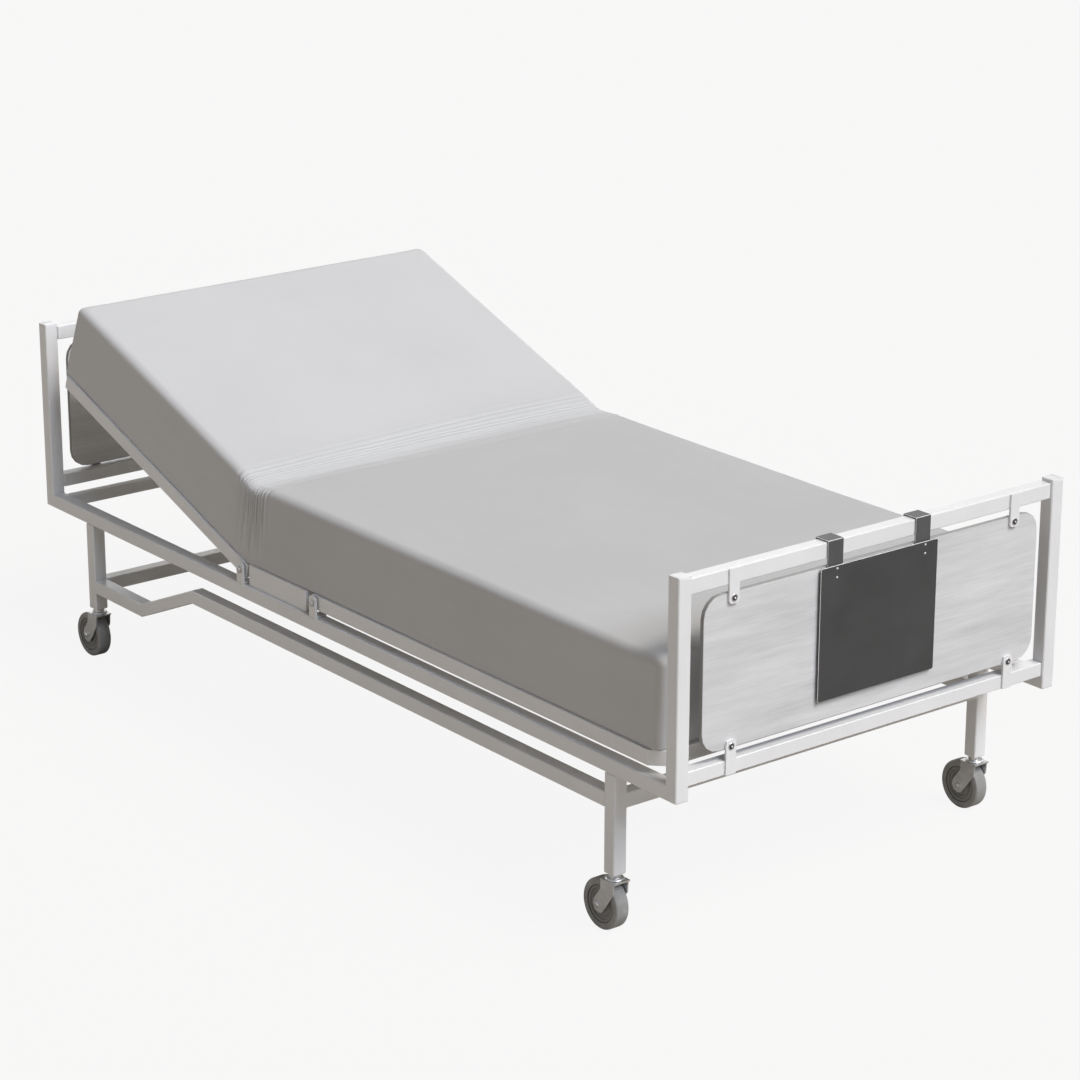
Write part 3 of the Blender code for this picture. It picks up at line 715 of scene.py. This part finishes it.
def value_noise(a, b, scale, seed):
    """Smooth noise from -1 to 1 over the plane of a and b, the same every run."""
    scaled = np.stack(np.broadcast_arrays(a, b), 1) * scale
    cell = np.floor(scaled).astype(np.int64)
    part = scaled - cell
    part = part * part * (3 - 2 * part)
    total = np.zeros(len(scaled))
    for corner in range(4):
        weight = np.ones(len(scaled))
        # the large odd multipliers scramble the cell's number into a hash
        mixed = np.full(len(scaled), seed * 374761393, np.int64)
        for axis in range(2):
            bit = (corner >> axis) & 1
            weight *= part[:, axis] if bit else 1 - part[:, axis]
            mixed ^= (cell[:, axis] + bit) * (668265263 + 2246822519 * axis)
        mixed = (mixed ^ (mixed >> 13)) * 1274126177
        mixed = (mixed ^ (mixed >> 16)) & 0xFFFF
        total += weight * (mixed / 32767.5 - 1)
    return total


def roll_in(depth, radius):
    """How far in a point lands that lay depth from a sharp edge, once it is rolled."""
    inside = np.clip(depth, 0, radius)
    rest = radius - inside
    rolled = radius - radius * rest / np.sqrt(rest ** 2 + radius * radius)
    return np.where(depth < radius, rolled, depth)


def roll_drop(depth, radius):
    """And how far it drops below its own face."""
    rest = radius - np.clip(depth, 0, radius)
    return radius - radius * radius / np.sqrt(rest ** 2 + radius * radius)


def arc_inset(rise, radius):
    """How far a rounded edge has drawn in, rise past the start of its arc."""
    arc = radius - np.sqrt(np.maximum(0, radius ** 2 - rise ** 2))
    return np.where(rise > 0, arc, 0)


def mattress_slab(fold_step, step, rows):
    """The mattress flat: X along the bed, Z above the hinge line, its edges rolled."""
    xs = grid_line(HEAD_END + SWELL, FOOT_END - SWELL, step,
                   rim_zones(HEAD_END, FOOT_END, first=0.022, last=0.024)
                   + [(FOLD_FROM, FOLD_TO, fold_step)])
    ys = grid_line(-HALF_W + SWELL, HALF_W - SWELL, step,
                   rim_zones(-HALF_W, HALF_W, first=0.024, last=0.026))
    low, high = BOTTOM, TOP - SWELL
    v, quads = slab_surface(xs, ys, low + (high - low) * np.array(rows))
    middle_x = (xs[0] + xs[-1]) / 2
    half_x, half_y = (xs[-1] - xs[0]) / 2, ys[-1]
    from_middle = v[:, 0] - middle_x
    sign_x, sign_y = np.where(from_middle < 0, -1, 1), np.where(v[:, 1] < 0, -1, 1)
    from_end, from_side = half_x - np.abs(from_middle), half_y - np.abs(v[:, 1])
    from_top, from_base = high - v[:, 2], v[:, 2] - low
    nearest = np.minimum(from_end, from_side)
    pull_top = roll_drop(from_top, ROLL_TOP) / roll_drop(0, ROLL_TOP)
    pull_base = roll_drop(from_base, ROLL_LOW) / roll_drop(0, ROLL_LOW)

    def drawn_in(depth):
        return (depth + (roll_in(depth, ROLL_TOP) - depth) * pull_top
                + (roll_in(depth, ROLL_LOW) - depth) * pull_base)

    def face_depth(depth, radius):
        return np.where(depth < 1e-9, roll_drop(nearest, radius), roll_in(depth, radius))

    inset_x, inset_y = drawn_in(from_end), drawn_in(from_side)
    z = np.where(from_top < ROLL_TOP, high - face_depth(from_top, ROLL_TOP),
                 low + face_depth(from_base, ROLL_LOW))
    # The upright corners are rounded inside whatever the rolled edges leave.
    gone = arc_inset(z - high + ROLL_TOP, ROLL_TOP) + arc_inset(low + ROLL_LOW - z, ROLL_LOW)
    over_x, over_y = ROLL_POST + gone - inset_x, ROLL_POST + gone - inset_y
    corner = (over_x > 0) & (over_y > 0)
    scale = np.where(
        corner, np.maximum(over_x, over_y) / np.maximum(np.hypot(over_x, over_y), 1e-9), 1)
    inset_x = np.where(corner, ROLL_POST + gone - over_x * scale, inset_x)
    inset_y = np.where(corner, ROLL_POST + gone - over_y * scale, inset_y)
    x, y = middle_x + sign_x * (half_x - inset_x), sign_y * (half_y - inset_y)
    # Both ends lean toward the foot as they rise.
    rise = np.clip((z - BOTTOM) / (TOP - BOTTOM), 0, 1)
    x += LEAN_HEAD * rise ** 1.2 * ease(-LEAN_FROM - x, over=LEAN_OVER)
    x += LEAN_FOOT * rise * ease(x - LEAN_FROM, over=LEAN_OVER)
    return np.stack([x, y, z], 1), quads


def settle(v, quads):
    """Cloth simulation of the cover swelling over the foam; returns each point's move."""
    obj = place("cover_sim", new_mesh("cover_sim", v, quads))
    pins = obj.vertex_groups.new(name="base")
    pins.add([i for i, point in enumerate(v) if point[2] < BOTTOM + 0.008], 1.0, "REPLACE")
    cloth = obj.modifiers.new("Cover", "CLOTH")
    settings = cloth.settings
    settings.quality = 5
    settings.mass = 0.3
    settings.use_pressure = True
    settings.uniform_pressure_force = 4.0
    settings.tension_stiffness = settings.compression_stiffness = 18
    settings.shear_stiffness = 8
    settings.bending_stiffness = 0.6
    settings.effector_weights.gravity = 0.0
    settings.vertex_group_mass = "base"
    cloth.collision_settings.use_collision = False
    cloth.point_cache.frame_start = 1
    cloth.point_cache.frame_end = 20
    for step in range(1, 16):
        scene.frame_set(step)
    swollen = obj.evaluated_get(bpy.context.evaluated_depsgraph_get())
    out = np.empty(len(v) * 3)
    swollen.to_mesh().vertices.foreach_get("co", out)
    swollen.to_mesh_clear()
    bpy.data.objects.remove(obj, do_unlink=True)
    scene.frame_set(1)
    move = out.reshape(-1, 3) - v
    far = np.linalg.norm(move, axis=1, keepdims=True)
    # The filling holds the cover back: its fullest places rise by SWELL, the rest in proportion.
    fullest = max(float(np.percentile(far, 85)), 1e-6)
    return move * np.minimum(SWELL / fullest, SWELL / np.maximum(far, 1e-9))


def carried(coarse, move, v):
    """The coarse cover's moves, read off at the fine cover's points."""
    tree = KDTree(len(coarse))
    for i, point in enumerate(coarse):
        tree.insert(point, i)
    tree.balance()
    out = np.zeros_like(v)
    for i, point in enumerate(v):
        total = 0.0
        for _, j, far in tree.find_n(point, 5):
            weight = 1 / (far * far + 1e-5)
            out[i] += move[j] * weight
            total += weight
        out[i] /= total
    return out


def creased(v, normals):
    """Presses the fold's creases and pleats into the cover, in the flat."""
    x, y, z = v.T
    from_hinge = x - BACK_X
    up = ease(normals[:, 2] - 0.05, over=0.5)
    flank = ease(np.abs(normals[:, 1]) - 0.15, over=0.5)
    height = np.clip((z - BOTTOM) / (TOP - BOTTOM), 0, 1)
    depth = np.zeros(len(v))
    # The rows lie closer together at the near edge than at the far one.
    fan = FAN_NEAR + (FAN_FAR - FAN_NEAR) * ease(y + 0.47, over=0.70)
    flank_fan = np.where(y < 0, FAN_NEAR, FAN_FAR)
    side = flank * (1 - 0.65 * up)
    for k, (at, strength) in enumerate(CREASES):
        # each crease wanders, and fades in and out along its length
        wander = 0.0034 * value_noise(y, k * 3.7, scale=2.7, seed=11 + k)
        wander += 0.0009 * value_noise(y, k * 1.3, scale=12.0, seed=31 + k)
        life = 0.70 + 0.30 * value_noise(y, k * 2.1, scale=4.3, seed=51 + k)
        off = from_hinge - (at * fan + wander)
        pressed = (bell(off - 0.0070, width=0.0042, height=0.0014)
                   - bell(off, width=0.0030, height=0.0026))
        depth += pressed * strength * life * up
        # Pleats on the flank run down and draw together toward the hinge.
        drawn = 0.58 + 0.46 * height ** 0.9 if at < 0 else 0.84 + 0.18 * height
        bow = 0.0026 * value_noise(z, k * 5.1, scale=8.0, seed=71 + k) * height
        off = from_hinge - at * flank_fan * drawn - bow
        start = 0.02 + 0.34 * ((k * 5) % 7) / 7  # staggers how low the pleats reach
        fade = ease(height - start, over=0.35) * (1 - 0.35 * ease(height - 0.85, over=0.15))
        pleat = (bell(off - 0.0078, width=0.0046, height=0.0026)
                 - bell(off, width=0.0040, height=0.0060))
        depth += pleat * strength * side * fade
    # Broad unevenness of the filling.
    depth += up * (0.0011 * value_noise(x, y, scale=2.6, seed=5)
                   + 0.0005 * value_noise(x, y, scale=8.0, seed=6))
    depth += flank * 0.0007 * value_noise(x, z, scale=5.0, seed=7)
    # The corners at the foot end dip a little behind their rim.
    for sign in (-1, 1):
        depth -= up * (bell(x - (FOOT_END - 0.10), width=0.075, height=0.0030)
                       * bell(y - sign * (HALF_W - 0.085), width=0.065, height=1.0))
    return v + normals * depth[:, None]


def bent(v):
    """Turns the flat slab about the hinge line, as the backrest rests."""
    x, y, z = v.T
    from_hinge = x - BACK_X
    # The underside arches clear of the hinge.
    under = ease(0.030 - z, over=0.012) * ease(0.435 - np.abs(y), over=0.02)
    lifted = z + 0.009 * under * ease(0.13 - np.abs(from_hinge), over=0.08)
    # Inside its rim it lies on the deck sheets, which stand 1.5 mm proud of the tubes.
    inside = np.minimum(0.4585 - np.abs(y), np.minimum(x - HEAD_END, FOOT_END - x) - 0.012)
    lifted = lifted + 0.0019 * ease(0.0195 - z, over=0.003) * ease(inside, over=0.004)
    fold = FOLD_LOW + (FOLD_TOP - FOLD_LOW) * np.clip(z / TOP, 0, 1)
    turn = REST * ease(fold - from_hinge, over=2 * fold)
    return np.stack([BACK_X + from_hinge * np.cos(turn) + lifted * np.sin(turn), y,
                     HINGE_Z - from_hinge * np.sin(turn) + lifted * np.cos(turn)], 1)


def mattress_cover():
    """The whole cover as one mesh, swollen, creased and bent."""
    points, quads = mattress_slab(fold_step=0.0023, step=0.0145, rows=ROWS)
    coarse, coarse_quads = mattress_slab(fold_step=0.012, step=0.017,
                                         rows=np.linspace(0, 1, 13))
    points = points + carried(coarse, settle(coarse, coarse_quads), points)
    mesh = new_mesh("mattress_cover_all", points, quads)
    spots, normals = np.empty(points.size), np.empty(points.size)
    mesh.vertices.foreach_get("co", spots)
    mesh.vertices.foreach_get("normal", normals)
    spots = creased(spots.reshape(-1, 3), normals.reshape(-1, 3))
    spots = np.clip(spots, [-FAR, -0.4712, BOTTOM - 0.0003], [FAR, 0.4712, 0.30])
    mesh.vertices.foreach_set("co", bent(spots).ravel())
    mesh.update()
    return mesh


def cover_half(tag, whole, keep_low):
    """The part of the cover on one side of SPLIT_X."""
    bm = bmesh.new()
    bm.from_mesh(whole)
    bmesh.ops.bisect_plane(bm, geom=bm.verts[:] + bm.edges[:] + bm.faces[:], dist=1e-6,
                           plane_co=(SPLIT_X, 0, 0), plane_no=(1, 0, 0),
                           clear_outer=keep_low, clear_inner=not keep_low)
    mesh = mesh_from(f"mattress_{tag}", bm)
    mesh.materials.append(CLOTH)
    mesh.polygons.foreach_set("use_smooth", [True] * len(mesh.polygons))
    obj = place(f"mattress_cover_{tag}", mesh)
    return obj


whole = mattress_cover()
head_half = cover_half("head", whole, keep_low=True)
foot_half = cover_half("foot", whole, keep_low=False)
bpy.data.meshes.remove(whole)
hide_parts("mattress_back", "mattress_seat")
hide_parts("mattress_leg")
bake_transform(head_half)
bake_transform(foot_half)


# ---------------------------------------------------------- floor and world
def floor_pale():
    """Mostly a flat pale glow to the camera, a dull surface to all other rays."""
    mat = bpy.data.materials.new("floor_pale")
    mat.use_nodes = True
    tree = mat.node_tree
    tree.nodes.clear()
    out = add_node(tree, "ShaderNodeOutputMaterial")
    glow = add_node(tree, "ShaderNodeEmission", Color=(0.972, 0.972, 0.972),
                    Strength=1.0).outputs[0]
    dull = add_node(tree, "ShaderNodeBsdfDiffuse", Color=(0.49, 0.455, 0.405)).outputs[0]
    path = add_node(tree, "ShaderNodeLightPath")
    seen = mix_shader(tree, 0.93, dull, glow)
    feed(out.inputs["Surface"], mix_shader(tree, path.outputs["Is Camera Ray"], dull, seen))
    return mat


def build_floor():
    bm = bmesh.new()
    bmesh.ops.create_grid(bm, x_segments=1, y_segments=1, size=60)
    mesh = mesh_from("floor", bm)
    mesh.materials.append(floor_pale())
    floor = place("floor", mesh)
    floor.location = (0, 0, -0.0005)


def build_world():
    """A faint fill light, a grey room for mirrors and a pale backdrop."""
    world = bpy.data.worlds.new("studio")
    scene.world = world
    world.use_nodes = True
    tree = world.node_tree
    fill = tree.nodes["Background"]
    feed(fill.inputs["Color"], (0.92, 0.97, 1.0))
    feed(fill.inputs["Strength"], 0.03)
    backdrop = add_node(tree, "ShaderNodeBackground", Color=(0.930, 0.930, 0.930), Strength=1.0)
    room = add_node(tree, "ShaderNodeBackground", Color=(0.34, 0.35, 0.36))
    path = add_node(tree, "ShaderNodeLightPath").outputs
    lit = mix_shader(tree, path["Is Glossy Ray"], fill.outputs[0], room.outputs[0])
    seen = mix_shader(tree, path["Is Camera Ray"], lit, backdrop.outputs[0])
    feed(tree.nodes["World Output"].inputs["Surface"], seen)


build_floor()
build_world()


# ------------------------------------------------------------------- lights
# Broad suns: name, azimuth from +X, height and spread in degrees, power, colour
SUNS = [
    ("key_high", 20, 57, 20, 1.58, (1.0, 0.965, 0.912)),
    ("key_low", 5, 38, 20, 1.08, (0.81, 0.865, 0.985)),
    ("key_far", 40, 48, 20, 0.76, (1.0, 0.97, 0.935)),
    ("key_near", -12, 38, 20, 0.35, (0.70, 0.82, 1.0)),
    ("near_side", -90, 20, 40, 0.40, (1.0, 0.92, 0.86)),
    ("rim", 142, 19, 24, 0.20, (1.0, 0.985, 0.965)),
    ("head_side", 180, 6, 40, 0.60, (1.0, 0.98, 0.95)),
    ("far_side", 90, 8, 40, 0.44, (1.0, 0.98, 0.95)),
]


def direction(azimuth, height):
    """The unit vector at an azimuth from +X and a height, in radians."""
    return Vector((math.cos(height) * math.cos(azimuth), math.cos(height) * math.sin(azimuth),
                   math.sin(height)))


for name, azimuth, height, spread, power, colour in SUNS:
    light = bpy.data.lights.new(name, "SUN")
    light.energy = power
    light.color = colour
    light.angle = math.radians(spread)
    toward = direction(math.radians(azimuth), math.radians(height))
    place(name, light).rotation_euler = toward.to_track_quat("Z", "Y").to_euler()

scene.view_settings.view_transform = "Standard"
scene.view_settings.look = "None"
scene.view_settings.exposure = 0.0
scene.view_settings.gamma = 1.0


# ------------------------------------------------------------------- camera
CAMERA_AT = (5.21647, -4.01523, 2.62763)
YAW, PITCH, ROLL = math.radians(141.883), math.radians(-18.500), math.radians(0.094)
FOCAL_LENGTH, SENSOR_WIDTH = 110.3763333, 36.0  # millimetres


def build_camera():
    ahead = direction(YAW, PITCH)
    level = ahead.cross(Vector((0, 0, 1))).normalized()
    upright = level.cross(ahead)
    right = level * math.cos(ROLL) + upright * math.sin(ROLL)
    above = -level * math.sin(ROLL) + upright * math.cos(ROLL)
    turn = Matrix((right, above, -ahead)).transposed()
    lens = bpy.data.cameras.new("camera")
    lens.sensor_width = SENSOR_WIDTH
    lens.sensor_fit = "AUTO"
    lens.lens = FOCAL_LENGTH
    lens.clip_end = 200
    camera = place("camera", lens)
    camera.matrix_world = Matrix.Translation(CAMERA_AT) @ turn.to_4x4()
    scene.camera = camera


build_camera()
